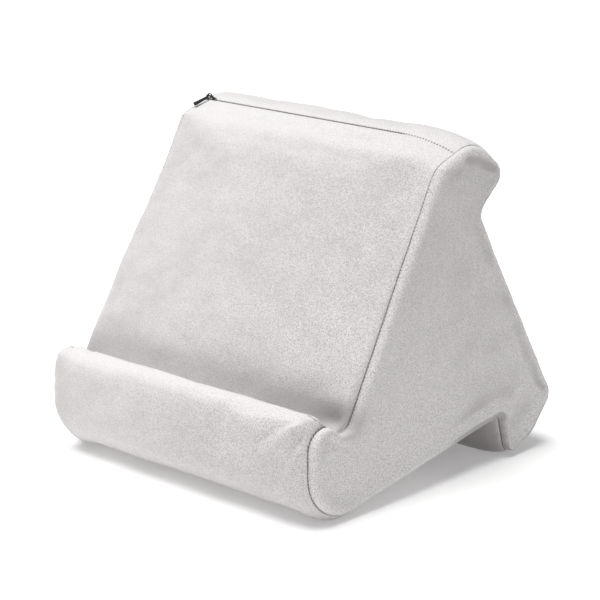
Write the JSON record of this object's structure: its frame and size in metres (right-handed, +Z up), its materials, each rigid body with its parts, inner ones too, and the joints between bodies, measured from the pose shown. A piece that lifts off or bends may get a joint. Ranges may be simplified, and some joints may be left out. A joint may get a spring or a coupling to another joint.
{
  "type": "tablet pillow stand",
  "caption": "Soft three-cornered foam wedge in a zipped velour cover that props a tablet, book or phone in a ledge at the foot of each sloping face.",
  "frame": {"origin": "on the floor under the middle of the stand's width and depth", "axes": "+X across the stand to the right as seen from the front, -Y towards the front face and its ledge, +Z up"},
  "size_m": [0.2694, 0.2717, 0.2486],
  "materials": {
    "velour": "matte",
    "foam": "matte",
    "zip_tape": "matte",
    "zip_coil": "satin",
    "black_slider": "satin"
  },
  "bodies": {
    "cushion": {"foam_core": "foam", "front_panel": "velour", "back_panel": "velour", "bottom_panel": "velour", "left_side_panel": "velour", "right_side_panel": "velour", "zip_tape_front": "zip_tape", "zip_tape_rear": "zip_tape", "zip_coil_front": "zip_coil", "zip_coil_rear": "zip_coil", "zip_top_stop": "zip_coil", "zip_bottom_stop": "zip_coil"},
    "slider": {"zip_slider_body": "black_slider"},
    "pull": {"zip_pull_tab": "black_slider"}
  },
  "joints": [
    {"name": "zip_slide", "type": "slide", "parent": "cushion", "child": "slider", "axis": [1, 0, 0], "range_m": [0, 0.189]},
    {"name": "pull_hinge", "type": "hinge", "parent": "slider", "child": "pull", "pos_m": [-0.1164, 0.02364, 0.24653], "axis": [-0.9336, 0.3584, 0], "range_deg": [0, 180]}
  ]
}
